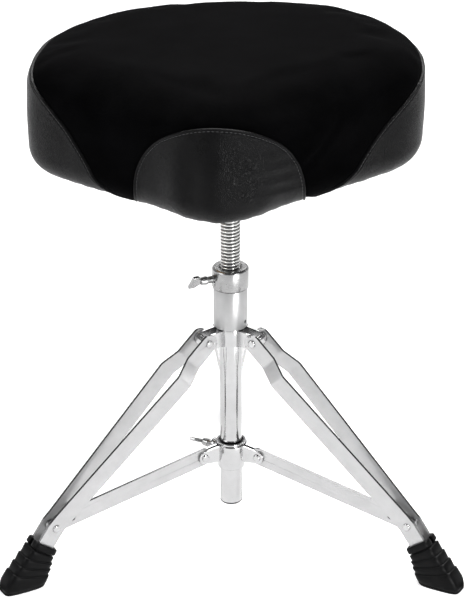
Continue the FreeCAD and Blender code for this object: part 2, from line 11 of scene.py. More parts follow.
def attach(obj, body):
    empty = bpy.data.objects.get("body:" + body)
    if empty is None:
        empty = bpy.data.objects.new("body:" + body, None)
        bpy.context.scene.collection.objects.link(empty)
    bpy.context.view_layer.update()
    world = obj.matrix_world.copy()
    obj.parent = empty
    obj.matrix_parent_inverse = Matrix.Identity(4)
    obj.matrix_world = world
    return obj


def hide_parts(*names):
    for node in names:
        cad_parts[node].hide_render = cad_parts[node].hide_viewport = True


# Drum throne in metres.  Origin on the column axis at floor level, +Z up, nose of
# the seat along -Y.
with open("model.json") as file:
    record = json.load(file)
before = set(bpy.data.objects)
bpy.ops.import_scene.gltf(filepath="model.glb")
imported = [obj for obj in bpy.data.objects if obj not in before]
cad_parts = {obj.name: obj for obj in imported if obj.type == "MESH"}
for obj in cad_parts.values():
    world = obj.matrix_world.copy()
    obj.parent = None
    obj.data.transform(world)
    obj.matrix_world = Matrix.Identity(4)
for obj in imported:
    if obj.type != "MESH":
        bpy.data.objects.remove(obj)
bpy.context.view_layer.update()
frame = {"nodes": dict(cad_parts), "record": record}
random.seed(7)

MM = 0.001

# ---------------------------------------------------------------- camera
CAMERA_AT = (0.0, -2.403, 1.427)
CAMERA_PITCH = 25.35       # degrees below the horizon
CAMERA_ROLL = -0.24
CAMERA_LENS = 143.04
CAMERA_SHIFT = 0.0033

# ---------------------------------------------------------------- seat, in mm
SEAT_CENTRE = np.array([-4.0, 25.0])
SEAT_YAW = 1.6             # degrees that the nose turns towards -X
SEAT_TILT = 0.027          # rise per mm towards +X: the cushion sits a little askew
SEAT_TOP = 586.5           # at the rim
SEAT_BOTTOM = 453.0
TOP_ROUND = 37.5
BOTTOM_ROUND = 31.0
TOP_CROWN = 2.0            # the middle stands this much over the rim
SIDE_BULGE = 1.0
FLANGE = 45.0
# plan radius of the cushion at these angles from the nose, mirrored to both sides
OUTLINE = [(0, 212.0), (11, 202.0), (22, 184.0), (41, 176.5), (58, 189.0), (76, 213.0), (95, 209.0),
           (125, 194.0), (152, 175.5), (180, 163.0)]
BAND_LOW = 440.0               # the side band's edge is a quarter ellipse from this height
BAND_TOP = 569.0               # up to here, and runs level to the back
BAND_FRONT_Y = -98.0
BAND_LEVEL_Y = 20.0
NOSE_X = -6.5                  # the nose panel's edge is a half ellipse on two upright sides
NOSE_HALF_WIDTH = 89.0
NOSE_SHOULDER = 472.0
NOSE_APEX = 565.0
NOSE_FRONT = -70.0             # the nose panel lies in front of this

SEAM_COLUMNS = 720
STITCH_AT = -3.6               # distance of the topstitch inside the leatherette's edge
STITCH_PITCH = 4.6
STITCH_LENGTH = 3.3
STITCH_R = 0.48

# soft folds: start, end, half width and depth, in mm
CREASES = [
    ((74.0, -136.0, 499.0), (98.0, -120.0, 523.0), 4.0, 1.6),
    ((90.0, -125.0, 516.0), (119.0, -103.0, 556.0), 4.5, 2.0),
    ((118.0, -104.0, 550.0), (120.0, -88.0, 580.0), 5.0, 1.0),
    ((8.0, -186.0, 524.0), (70.0, -140.0, 516.0), 3.4, 1.5),
    ((18.0, -182.0, 508.0), (76.0, -136.0, 500.0), 3.4, 1.3),
    ((24.0, -180.0, 494.0), (78.0, -134.0, 484.0), 3.0, 1.0),
    ((-42.0, -172.0, 470.0), (-30.0, -176.0, 540.0), 11.0, 2.2),
]

# ---------------------------------------------------------------- spindle, in mm
THREAD_CREST = 11.0
THREAD_ROOT = 8.9
THREAD_PITCH = 4.0
SPINDLE_LOW = 200.0
SPINDLE_HIGH = 446.0

# ---------------------------------------------------------------- legs, in mm
LEG_ANGLES = {"left": 210.0, "right": 330.0, "rear": 90.0}
FOOT_RIVET = (229.0, 68.0)     # distance from the column axis and height
TAIL_ANGLE = 53.71             # degrees below the horizon that the rubber foot points


# ---------------------------------------------------------------- metals, in metres
NUT_BOTTOM = 0.306
NUT_SHADOW_LINE = 0.0013             # half height of the painted shadow line along the nut's lower edge, where it meets the sleeve
SHADE_REACH = 0.005           # how far the painted shade reaches from corners and contact lines of the plating
UP_FACE_SHADE = (0.5, 0.7)         # upward part of the normal over which a strap's up-facing edges go to painted shade, standing for the dark seat and ceiling that they reflect


# ================================================================ material helpers
class Shader:
    """A procedural material under construction."""

    def __init__(self, name):
        self.material = bpy.data.materials.new(name)
        self.material.use_nodes = True
        self.tree = self.material.node_tree
        self.bsdf = self.tree.nodes["Principled BSDF"]
        coords = self.tree.nodes.new("ShaderNodeTexCoord")
        self.coords = coords.outputs["Object"]
        self.facing = coords.outputs["Normal"]

    def set(self, **values):
        for key, value in values.items():
            self.bsdf.inputs[key.replace("_", " ")].default_value = value
        return self

    def node(self, kind, **values):
        made = self.tree.nodes.new(kind)
        for key, value in values.items():
            if key in made.inputs:
                made.inputs[key].default_value = value
            else:
                setattr(made, key, value)
        return made

    def link(self, a, b):
        self.tree.links.new(a, b)

    def stretched(self, scale):
        mapping = self.node("ShaderNodeMapping")
        mapping.inputs["Scale"].default_value = scale
        self.link(self.coords, mapping.inputs["Vector"])
        return mapping.outputs["Vector"]

    def noise(self, scale, detail=3.0, rough=0.5, vector=None):
        made = self.node("ShaderNodeTexNoise", Scale=scale, Detail=detail, Roughness=rough)
        self.link(vector or self.coords, made.inputs["Vector"])
        return made.outputs["Fac"]

    def cells(self, scale, feature="DISTANCE_TO_EDGE", vector=None):
        made = self.node("ShaderNodeTexVoronoi", feature=feature, Scale=scale)
        self.link(vector or self.coords, made.inputs["Vector"])
        return made.outputs["Distance"]

    def remap(self, value, low, high, to_low, to_high):
        made = self.node("ShaderNodeMapRange")
        for name, number in (("From Min", low), ("From Max", high), ("To Min", to_low), ("To Max", to_high)):
            made.inputs[name].default_value = number
        self.link(value, made.inputs["Value"])
        return made.outputs["Result"]

    def mix(self, factor, a, b):
        made = self.node("ShaderNodeMix", data_type="RGBA")
        self.link(factor, made.inputs["Factor"])
        for socket, colour in ((made.inputs[6], a), (made.inputs[7], b)):
            if isinstance(colour, tuple):
                socket.default_value = (*colour, 1.0)
            else:
                self.link(colour, socket)
        return made.outputs[2]

    def patchy(self, value, low, high, a, b):
        """Colour a where the value is at low, colour b where it is at high."""
        return self.mix(self.remap(value, low, high, 0.0, 1.0), a, b)

    def bump(self, height, strength, distance, below=None):
        made = self.node("ShaderNodeBump", Strength=strength, Distance=distance)
        self.link(height, made.inputs["Height"])
        if below is not None:
            self.link(below, made.inputs["Normal"])
        return made.outputs["Normal"]

    def to(self, socket, name):
        self.link(socket, self.bsdf.inputs[name])
        return self


def chrome(name, tint, rough_low, rough_high, smudge=0.15, metallic=1.0, sheared=False):
    """Bright plating with wiping marks, painted shade in corners and contact lines, a little waviness and, on
    sheared strips, painted shade on the up-facing edges.
    """
    made = Shader(name).set(Metallic=metallic)
    wipe = made.noise(38.0, 6.0, 0.65)
    fine = made.noise(420.0, 3.0, 0.6)
    made.to(made.remap(wipe, 0.35, 0.7, rough_low, rough_high), "Roughness")
    darker = tuple(c * (1.0 - smudge) for c in tint)
    clean = made.patchy(wipe, 0.3, 0.75, tint, darker)
    # painted shade: occlusion darkens the plating in corners and along contact lines, where shade falls
    corners = made.node("ShaderNodeAmbientOcclusion", Distance=SHADE_REACH, samples=12)
    plated = made.patchy(corners.outputs["AO"], 0.2, 0.7, (0.1, 0.1, 0.102), clean)
    # painted shade: with sheared set, faces that point upwards turn dark and fully metallic, standing for the
    # dark seat and ceiling reflected there
    if sheared:
        split = made.node("ShaderNodeSeparateXYZ")
        made.link(made.facing, split.inputs[0])
        made.to(made.remap(split.outputs["Z"], *UP_FACE_SHADE, metallic, 1.0), "Metallic")
        plated = made.patchy(split.outputs["Z"], *UP_FACE_SHADE, plated, (0.12, 0.12, 0.122))
    made.to(plated, "Base Color")
    made.to(made.bump(fine, 0.04, 0.00015), "Normal")
    return made.material


def machined(name, tint, rough):
    """Turned steel with fine rings round the column axis, and a painted shadow line along the nut's lower
    edge.
    """
    made = Shader(name).set(Metallic=1.0)
    rings = made.noise(1.0, 2.0, 0.7, made.stretched((60.0, 60.0, 2600.0)))
    patch = made.noise(70.0, 4.0, 0.6)
    made.to(made.remap(patch, 0.3, 0.7, rough * 0.75, rough * 1.3), "Roughness")
    darker = tuple(c * 0.8 for c in tint)
    turned = made.patchy(rings, 0.3, 0.7, tint, darker)
    split = made.node("ShaderNodeSeparateXYZ")
    made.link(made.coords, split.inputs[0])
    # painted shade: a dark band at the nut's lower edge stands for the shadow in the gap above the sleeve
    shadow_line = made.node("ShaderNodeMath", operation="COMPARE")
    made.link(split.outputs["Z"], shadow_line.inputs[0])
    shadow_line.inputs[1].default_value = NUT_BOTTOM
    shadow_line.inputs[2].default_value = NUT_SHADOW_LINE
    made.to(made.mix(shadow_line.outputs[0], turned, (0.05, 0.05, 0.05)), "Base Color")
    made.to(made.bump(rings, 0.12, 0.0002), "Normal")
    return made.material


def thread_steel(name):
    """Zinc-plated thread: bright crests, painted shade in the roots."""
    made = Shader(name).set(Metallic=1.0)
    flat = made.node("ShaderNodeVectorMath", operation="MULTIPLY")
    flat.inputs[1].default_value = (1.0, 1.0, 0.0)
    made.link(made.coords, flat.inputs[0])
    length = made.node("ShaderNodeVectorMath", operation="LENGTH")
    made.link(flat.outputs["Vector"], length.inputs[0])
    crest = made.remap(length.outputs["Value"], THREAD_ROOT * MM, THREAD_CREST * MM, 0.0, 1.0)
    stain = made.noise(90.0, 4.0, 0.6)
    steel = made.patchy(stain, 0.35, 0.7, (0.74, 0.74, 0.73), (0.62, 0.62, 0.61))
    # painted shade: the colour darkens towards the thread's roots, where shade falls in the grooves
    made.to(made.mix(crest, (0.10, 0.10, 0.10), steel), "Base Color")
    made.to(made.remap(stain, 0.3, 0.7, 0.14, 0.24), "Roughness")
    made.to(made.bump(made.noise(900.0), 0.03, 0.0001), "Normal")
    return made.material


def rubber(name):
    """Matt black rubber with mould grain and a trace of dust."""
    made = Shader(name).set(IOR=1.5, Specular_IOR_Level=0.085)
    grain = made.noise(1500.0, 2.0, 0.6)
    dust = made.noise(55.0, 6.0, 0.7)
    made.to(made.patchy(dust, 0.45, 0.8, (0.0016, 0.0016, 0.0018), (0.0045, 0.0045, 0.0048)), "Base Color")
    made.to(made.remap(dust, 0.3, 0.7, 0.36, 0.5), "Roughness")
    made.to(made.bump(grain, 0.22, 0.00018), "Normal")
    return made.material


def velour(name):
    """Near-black short pile: fine nap, brushed patches and a soft sheen."""
    made = Shader(name).set(Roughness=0.95, Specular_IOR_Level=0.01, Sheen_Weight=0.011, Sheen_Roughness=0.4)
    made.bsdf.inputs["Sheen Tint"].default_value = (0.62, 0.62, 0.66, 1.0)
    pile = made.noise(2600.0, 2.0, 0.7)
    brushed = made.noise(16.0, 5.0, 0.62)
    clumps = made.noise(330.0, 3.0, 0.6)
    made.to(made.patchy(brushed, 0.35, 0.68, (0.0005, 0.0005, 0.0006), (0.0016, 0.0016, 0.0018)),
            "Base Color")
    soft = made.bump(clumps, 0.25, 0.0006)
    made.to(made.bump(pile, 0.5, 0.0003, soft), "Normal")
    return made.material


def leatherette(name):
    """Black coated cloth: pebble grain, finer pores and a soft gloss that varies."""
    made = Shader(name).set(IOR=1.48, Specular_IOR_Level=0.065)
    warp = made.noise(160.0, 2.0, 0.5)
    grain = made.cells(560.0)
    pebble = made.remap(grain, 0.0, 0.32, 0.0, 1.0)
    pores = made.noise(2200.0, 2.0, 0.6)
    wear = made.noise(24.0, 5.0, 0.6)
    made.to(made.patchy(wear, 0.35, 0.7, (0.0022, 0.0022, 0.0024), (0.0042, 0.0042, 0.0045)),
            "Base Color")
    made.to(made.remap(wear, 0.3, 0.72, 0.25, 0.38), "Roughness")
    low = made.bump(warp, 0.2, 0.0012)
    mid = made.bump(pebble, 0.55, 0.0004, low)
    made.to(made.bump(pores, 0.12, 0.0001, mid), "Normal")
    return made.material


def plain(name, light, dark, rough, scale, bump=0.15, depth=0.0003, metallic=0.0):
    """Mottled surface for small and hidden pieces."""
    made = Shader(name).set(Metallic=metallic)
    patch = made.noise(scale, 5.0, 0.6)
    made.to(made.patchy(patch, 0.3, 0.7, light, dark), "Base Color")
    made.to(made.remap(patch, 0.3, 0.7, rough * 0.85, min(1.0, rough * 1.15)), "Roughness")
    made.to(made.bump(made.noise(scale * 18.0), bump, depth), "Normal")
    return made.material


def plywood(name):
    made = Shader(name)
    rings = made.noise(1.0, 6.0, 0.6, made.stretched((9.0, 120.0, 700.0)))
    made.to(made.patchy(rings, 0.3, 0.7, (0.46, 0.31, 0.17), (0.28, 0.17, 0.085)), "Base Color")
    made.set(Roughness=0.7)
    made.to(made.bump(rings, 0.3, 0.0004), "Normal")
    return made.material


def woven(name):
    """Thin black non-woven dust cloth with a pressed dot pattern."""
    made = Shader(name).set(Roughness=0.9, Sheen_Weight=0.15)
    dots = made.cells(700.0, "F1")
    fibre = made.noise(1800.0, 3.0, 0.7)
    made.to(made.patchy(dots, 0.1, 0.5, (0.010, 0.010, 0.011), (0.024, 0.024, 0.026)), "Base Color")
    made.to(made.bump(fibre, 0.4, 0.0003, made.bump(dots, 0.4, 0.0003)), "Normal")
    return made.material


CHROME_TINT = (0.525, 0.525, 0.528)
MATERIALS = {
    "chrome": chrome("chrome", CHROME_TINT, 0.09, 0.17),
    "machined_steel": machined("machined_steel", (0.36, 0.36, 0.36), 0.24),
    "thread_steel": thread_steel("thread_steel"),
    "dark_steel": plain("dark_steel", (0.09, 0.09, 0.092), (0.04, 0.04, 0.042), 0.4, 240.0, metallic=0.9),
    "rubber": rubber("rubber"),
    "plug_plastic": plain("plug_plastic", (0.022, 0.022, 0.023), (0.014, 0.014, 0.015), 0.45, 120.0),
    "velour": velour("velour"),
    "leatherette": leatherette("leatherette"),
    "foam": plain("foam", (0.55, 0.50, 0.36), (0.42, 0.37, 0.25), 0.9, 300.0, 0.6, 0.001),
    "board_wood": plywood("board_wood"),
    "dust_cloth": woven("dust_cloth"),
}
SATIN_CHROME = chrome("satin_chrome", (0.44, 0.44, 0.442), 0.3, 0.4, metallic=0.6)
# sheared=True gives the straps painted shade on their up-facing edges
STRAP_CHROME = chrome("strap_chrome", (0.53, 0.53, 0.532), 0.16, 0.26, metallic=0.55, sheared=True)
THREAD_BLACK = plain("sewing_thread", (0.09, 0.09, 0.094), (0.06, 0.06, 0.063), 0.5, 900.0, 0.5, 0.0002)
STAPLE_STEEL = plain("staple_steel", (0.55, 0.55, 0.56), (0.38, 0.38, 0.39), 0.3, 600.0, metallic=1.0)


# ================================================================ CAD nodes
def finish_cad_nodes():
    """Gives every CAD node its material, and all but the sheared flat strips a small rolled edge."""
    slots = {entry["node"]: entry["material_slot"] for entry in frame["record"]["subparts"]}
    edge = {"chrome": 0.3, "machined_steel": 0.5, "dark_steel": 0.25, "plug_plastic": 0.6, "board_wood": 0.8}
    for name, node in frame["nodes"].items():
        slot = slots[name]
        flat_strip = name.endswith("strap") or name.endswith("stay")
        material = STRAP_CHROME if flat_strip else MATERIALS[slot]
        if name == "column_sleeve":
            material = SATIN_CHROME
        if not node.data.materials:
            node.data.materials.append(material)
        for index in range(len(node.data.materials)):
            node.data.materials[index] = material
        weld = node.modifiers.new("weld", "WELD")
        weld.merge_threshold = 0.00002
        if flat_strip:
            continue
        bevel = node.modifiers.new("rolled_edge", "BEVEL")
        bevel.width = edge.get(slot, 0.3) * MM
        bevel.segments = 2
        bevel.limit_method = "ANGLE"
        bevel.angle_limit = math.radians(38.0)
        bevel.harden_normals = True


# ================================================================ mesh helpers
def new_object(name, verts, faces, material, smooth=True):
    mesh = bpy.data.meshes.new(name)
    mesh.from_pydata([tuple(v) for v in verts], [], [tuple(f) for f in faces])
    mesh.validate()
    if smooth:
        mesh.shade_smooth()
    mesh.materials.append(material)
    made = bpy.data.objects.new(name, mesh)
    bpy.context.scene.collection.objects.link(made)
    return made


def apply_modifiers(piece):
    """Replaces the piece's mesh by its evaluated one."""
    graph = bpy.context.evaluated_depsgraph_get()
    mesh = bpy.data.meshes.new_from_object(piece.evaluated_get(graph))
    piece.modifiers.clear()
    piece.data = mesh


def cut_levels(bm, fields, which, levels):
    """Splits the faces along the lines where a field takes the given values.

    fields is a list of lists of numbers by vertex index, which grow with the mesh.
    """
    for level in levels:
        field = fields[which]
        crossing = []
        for edge in bm.edges:
            a = field[edge.verts[0].index] - level
            b = field[edge.verts[1].index] - level
            if a * b < 0.0 and abs(a) < 40.0:
                crossing.append((edge, a, b))
        fresh = set()
        count = len(bm.verts)
        for edge, a, b in crossing:
            first, second = edge.verts
            share = a / (a - b)
            _, vert = bmesh.utils.edge_split(edge, first, share)
            vert.index = count
            count += 1
            for values in fields:
                values.append(values[first.index] * (1.0 - share) + values[second.index] * share)
            field[vert.index] = level
            fresh.add(vert)
        touched = {face for vert in fresh for face in vert.link_faces}
        for face in touched:
            on_line = [vert for vert in face.verts if vert in fresh or abs(field[vert.index] - level) < 1e-9]
            if len(on_line) == 2 and not any(set(edge.verts) == set(on_line) for edge in face.edges):
                bmesh.utils.face_split(face, on_line[0], on_line[1])
        bm.verts.index_update()
        bm.edges.index_update()


# ================================================================ seat shape
def outline_radius(angle):
    """Plan radius at an angle from the nose, by a cubic through the mirrored stations."""
    stations = [(-a, r) for a, r in OUTLINE[1:][::-1]] + OUTLINE
    before = [(a - 360.0, r) for a, r in stations[:-1]][-3:]
    after = [(a + 360.0, r) for a, r in stations[1:4]]
    stations = before + stations + after
    xs = np.array([a for a, _ in stations])
    ys = np.array([r for _, r in stations])
    slopes = np.gradient(ys, xs)
    at = (np.asarray(angle) + 180.0) % 360.0 - 180.0
    i = np.clip(np.searchsorted(xs, at) - 1, 0, len(xs) - 2)
    span = xs[i + 1] - xs[i]
    t = (at - xs[i]) / span
    h00 = 2 * t ** 3 - 3 * t ** 2 + 1
    h10 = t ** 3 - 2 * t ** 2 + t
    h01 = -2 * t ** 3 + 3 * t ** 2
    h11 = t ** 3 - t ** 2
    return h00 * ys[i] + h10 * span * slopes[i] + h01 * ys[i + 1] + h11 * span * slopes[i + 1]


def plan_outline(columns):
    """Points of the cushion's plan outline in mm, and the unit normals that point inwards."""
    angle = np.arange(columns) * 360.0 / columns
    radius = outline_radius(angle)
    turn = np.radians(angle - 90.0 - SEAT_YAW)
    points = np.stack([np.cos(turn), np.sin(turn)], axis=1) * radius[:, None] + SEAT_CENTRE
    tangent = np.roll(points, -1, axis=0) - np.roll(points, 1, axis=0)
    tangent /= np.linalg.norm(tangent, axis=1)[:, None]
    return points, np.stack([-tangent[:, 1], tangent[:, 0]], axis=1)


def seat_rings(points, inward, top_rings, arc_steps, wall_steps, flange_rings):
    """Rings of the cushion's surface in mm from the middle of the top to the flange underneath."""
    rings = []
    core = points + inward * TOP_ROUND
    centre = core.mean(axis=0)
    for i in range(1, top_rings):
        share = i / top_rings
        flat = centre + (core - centre) * share
        rings.append((flat, np.full(len(points), SEAT_TOP + TOP_CROWN * (1.0 - share ** 2))))
    for i in range(arc_steps + 1):
        turn = math.pi / 2 * i / arc_steps
        inset = TOP_ROUND * (1 - math.sin(turn))
        height = SEAT_TOP - TOP_ROUND * (1 - math.cos(turn))
        rings.append((points + inward * inset, np.full(len(points), height)))
    wall_high = SEAT_TOP - TOP_ROUND
    wall_low = SEAT_BOTTOM + BOTTOM_ROUND
    for i in range(1, wall_steps):
        share = i / wall_steps
        bulge = SIDE_BULGE * math.sin(math.pi * share)
        height = wall_high + (wall_low - wall_high) * share
        rings.append((points - inward * bulge, np.full(len(points), height)))
    for i in range(arc_steps + 1):
        turn = math.pi / 2 * i / arc_steps
        inset = BOTTOM_ROUND * (1 - math.cos(turn))
        height = wall_low - BOTTOM_ROUND * math.sin(turn)
        rings.append((points + inward * inset, np.full(len(points), height)))
    for i in range(1, flange_rings + 1):
        inset = BOTTOM_ROUND + (FLANGE - BOTTOM_ROUND) * i / flange_rings
        rings.append((points + inward * inset, np.full(len(points), SEAT_BOTTOM)))
    return centre, rings


def seat_mesh(columns, top_rings, arc_steps, wall_steps, flange_rings, closed):
    """Vertices and faces of the cushion's surface."""
    points, inward = plan_outline(columns)
    centre, rings = seat_rings(points, inward, top_rings, arc_steps, wall_steps, flange_rings)
    verts = [(centre[0], centre[1], SEAT_TOP + TOP_CROWN)]
    for flat, height in rings:
        verts.extend(zip(flat[:, 0], flat[:, 1], height))
    verts = np.array(verts)
    verts[:, 2] += SEAT_TILT * (verts[:, 0] - SEAT_CENTRE[0])
    faces = [(0, 1 + j, 1 + (j + 1) % columns) for j in range(columns)]
    for i in range(len(rings) - 1):
        low = 1 + i * columns
        high = low + columns
        for j in range(columns):
            k = (j + 1) % columns
            faces.append((low + j, high + j, high + k, low + k))
    if closed:
        last = 1 + (len(rings) - 1) * columns
        faces.append(tuple(last + j for j in range(columns))[::-1])
    return verts, faces


def edge_distance(across, along, reach_across, reach_along, normals, axis_across, axis_along):
    """Distance over the surface from an ellipse given in two directions, negative inside."""
    u, v = across / reach_across, along / reach_along
    size = np.maximum(np.hypot(u, v), 1e-3)
    grade_u, grade_v = u / size / reach_across, v / size / reach_along
    grade = np.maximum(np.hypot(grade_u, grade_v), 1e-6)
    slope = (normals @ axis_across * grade_u + normals @ axis_along * grade_v) / grade
    return (size - 1.0) / grade / np.sqrt(np.maximum(1.0 - slope ** 2, 0.08))


def seam_fields(verts, normals):
    """Signed distances in mm from the side band's and the nose panel's edges, positive on the velour."""
    turn = math.radians(SEAT_YAW)
    side = np.array([math.cos(turn), -math.sin(turn), 0.0])
    back = np.array([math.sin(turn), math.cos(turn), 0.0])
    up = np.array([0.0, 0.0, 1.0])
    offset = verts - np.array([*SEAT_CENTRE, 0.0])
    x = offset @ side + SEAT_CENTRE[0]
    y = offset @ back + SEAT_CENTRE[1]
    z = verts[:, 2]
    ahead = np.minimum(y - BAND_LEVEL_Y, 0.0)
    over = np.maximum(z - BAND_LOW, 0.0)
    band = edge_distance(ahead, over, BAND_LEVEL_Y - BAND_FRONT_Y, BAND_TOP - BAND_LOW, normals, back, up)
    above = np.maximum(z - NOSE_SHOULDER, 0.0)
    nose = edge_distance(x - NOSE_X, above, NOSE_HALF_WIDTH, NOSE_APEX - NOSE_SHOULDER, normals, side, up)
    nose = np.where(y < NOSE_FRONT, nose, 60.0)
    return band, nose


def ring_normals(verts, faces):
    """Outward unit normals of the vertices."""
    mesh = bpy.data.meshes.new("scratch")
    mesh.from_pydata([tuple(v) for v in verts], [], faces)
    normals = np.zeros(len(verts) * 3)
    mesh.vertices.foreach_get("normal", normals)
    bpy.data.meshes.remove(mesh)
    return normals.reshape(-1, 3)


# ================================================================ stuffing
SIM_COLUMNS = 160
SIM_SHRINK = 1.5               # mm that the cover starts inside its final shape
SIM_CAP = 3.0                  # largest movement kept
SIM_FRAMES = 20


def stuffed_movement():
    """Inflates a coarse closed copy of the cushion between its seams and returns where it moved."""
    verts, faces = seat_mesh(SIM_COLUMNS, 24, 8, 8, 6, True)
    normals = ring_normals(verts, faces)
    shape = new_object("stuffing_scratch", (verts - normals * SIM_SHRINK) * MM, faces, MATERIALS["foam"])
    remesh = shape.modifiers.new("even", "REMESH")
    remesh.mode = "VOXEL"
    remesh.voxel_size = 0.0055
    apply_modifiers(shape)
    count = len(shape.data.vertices)
    start = np.zeros(count * 3)
    shape.data.vertices.foreach_get("co", start)
    start = start.reshape(-1, 3) / MM
    rest = np.zeros(count * 3)
    shape.data.vertices.foreach_get("normal", rest)
    band, nose = seam_fields(start, rest.reshape(-1, 3))
    near_seam = np.minimum(np.abs(band), np.abs(nose))
    pins = shape.vertex_groups.new(name="held")
    level = start[:, 2] - SEAT_TILT * (start[:, 0] - SEAT_CENTRE[0])
    for i in range(count):
        if level[i] < SEAT_BOTTOM + 5.0:
            pins.add([i], 1.0, "REPLACE")
        elif near_seam[i] < 5.0:
            pins.add([i], 0.9, "REPLACE")
    cloth = shape.modifiers.new("cloth", "CLOTH")
    settings = cloth.settings
    settings.quality = 6
    settings.mass = 0.3
    settings.tension_stiffness = 25.0
    settings.compression_stiffness = 25.0
    settings.shear_stiffness = 12.0
    settings.bending_stiffness = 2.0
    settings.use_pressure = True
    settings.uniform_pressure_force = 3.0
    settings.vertex_group_mass = "held"
    settings.effector_weights.gravity = 0.0
    cloth.collision_settings.use_collision = False
    scene = bpy.context.scene
    scene.frame_start, scene.frame_end = 1, SIM_FRAMES
    cloth.point_cache.frame_start, cloth.point_cache.frame_end = 1, SIM_FRAMES
    for step in range(1, SIM_FRAMES + 1):
        scene.frame_set(step)
    graph = bpy.context.evaluated_depsgraph_get()
    moved = np.zeros(count * 3)
    shape.evaluated_get(graph).data.vertices.foreach_get("co", moved)
    move = moved.reshape(-1, 3) / MM - start
    scene.frame_set(1)
    bpy.data.objects.remove(shape)
    size = np.linalg.norm(move, axis=1)
    move *= np.minimum(1.0, SIM_CAP / np.maximum(size, 1e-6))[:, None]
    tree = kdtree.KDTree(count)
    for i in range(count):
        tree.insert(start[i], i)
    tree.balance()
    return tree, move


def spread_movement(tree, move, verts):
    """The coarse movement at each fine vertex."""
    out = np.zeros_like(verts)
    for i, vert in enumerate(verts):
        total = 0.0
        for _, index, distance in tree.find_n(vert, 16):
            weight = 1.0 / (distance + 5.0) ** 2
            out[i] += move[index] * weight
            total += weight
        out[i] /= total
    return out


def seam_profile(distance):
    """Height in mm of the covers beside a seam: velour dips, the leatherette's folded edge stands up."""
    stations = [-14.0, -8.0, -5.0, -4.1, STITCH_AT, -3.1, -2.2, -1.2, -0.5, 0.0, 0.7, 1.6, 3.5, 8.0, 16.0]
    heights = [0.0, 0.2, 0.6, 0.3, -0.4, 0.6, 1.35, 1.55, 0.9, -1.2, -1.7, -1.3, -0.6, -0.1, 0.0]
    return np.interp(distance, stations, heights)


def covers_relief(verts):
    """Fine relief in mm: folds pulled from the seams, sag lines and soft unevenness of the padding."""
    relief = np.zeros(len(verts))
    for i, (x, y, z) in enumerate(verts):
        place = Vector((x, y, z))
        relief[i] = 0.9 * noise.noise(place * 0.011) + 0.35 * noise.noise(place * 0.035)
    for start, end, width, depth in CREASES:
        a, b = np.array(start), np.array(end)
        along = b - a
        length = np.linalg.norm(along)
        along = along / length
        offset = verts - a
        t = np.clip(offset @ along, 0.0, length)
        away = np.linalg.norm(offset - t[:, None] * along, axis=1)
        fade = np.sin(np.pi * np.clip(t / length, 0.02, 0.98))
        groove = np.exp(-(away / width) ** 2) - 0.55 * np.exp(-((away - 2.0 * width) / (1.1 * width)) ** 2)
        relief -= depth * fade * groove
    return relief


def build_seat():
    """Velour top, leatherette side band and nose panel, all cut from one stuffed surface."""
    verts, faces = seat_mesh(SEAM_COLUMNS, 60, 22, 16, 10, False)
    normals = ring_normals(verts, faces)
    band, nose = seam_fields(verts, normals)
    fields = [list(np.minimum(band, nose)), list(nose)]
    bm = bmesh.new()
    made = [bm.verts.new(tuple(v)) for v in verts]
    bm.verts.index_update()
    for face in faces:
        bm.faces.new([made[i] for i in face])
    cut_levels(bm, fields, 0, [0.0, -0.5, -1.2, -2.2, -3.1, STITCH_AT, -4.1, -5.0, 0.7, 1.6, 3.5])
    bm.verts.index_update()
    bm.normal_update()
    bm.verts.ensure_lookup_table()
    seam = np.array(fields[0])
    nose_field = np.array(fields[1])
    verts = np.array([vert.co[:] for vert in bm.verts])
    normals = np.array([vert.normal[:] for vert in bm.verts])
    tree, move = stuffed_movement()
    verts = verts + spread_movement(tree, move, verts)
    level = verts[:, 2] - SEAT_TILT * (verts[:, 0] - SEAT_CENTRE[0])
    upper = np.clip((level - SEAT_BOTTOM - 4.0) / 12.0, 0.0, 1.0)
    height = seam_profile(seam) + covers_relief(verts) * upper
    under = 1.0 - np.clip((level - SEAT_BOTTOM) / 8.0, 0.0, 1.0)
    around = np.arctan2(verts[:, 1] - SEAT_CENTRE[1], verts[:, 0] - SEAT_CENTRE[0])
    pleat = np.sin(around * 46.0 + 3.0 * np.sin(around * 5.0)) * 0.5 + 0.5 * np.sin(around * 71.0 + 1.3)
    height = height - under * (pleat * 0.7)
    verts = verts + normals * height[:, None]
    for vert, place in zip(bm.verts, verts):
        vert.co = place * MM
    for name, slot in (("velour_top", "velour"), ("nose_panel", "leatherette"), ("side_band", "leatherette")):
        part = bm.copy()
        part.verts.ensure_lookup_table()
        drop = []
        for face in part.faces:
            mean = sum(seam[v.index] for v in face.verts) / len(face.verts)
            near = sum(nose_field[v.index] for v in face.verts) / len(face.verts)
            kind = "velour_top" if mean > 0 else ("nose_panel" if near < 0 else "side_band")
            if kind != name:
                drop.append(face)
        bmesh.ops.delete(part, geom=drop, context="FACES")
        mesh = bpy.data.meshes.new(name)
        part.to_mesh(mesh)
        part.free()
        mesh.shade_smooth()
        mesh.materials.append(MATERIALS[slot])
        piece = bpy.data.objects.new(name, mesh)
        bpy.context.scene.collection.objects.link(piece)
        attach(piece, "seat")
    place_stitches(bm, seam, verts, normals)
    bm.free()
    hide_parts("top_cover", "cushion_foam")
    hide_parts("nose_cover")
    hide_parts("side_band_cover")


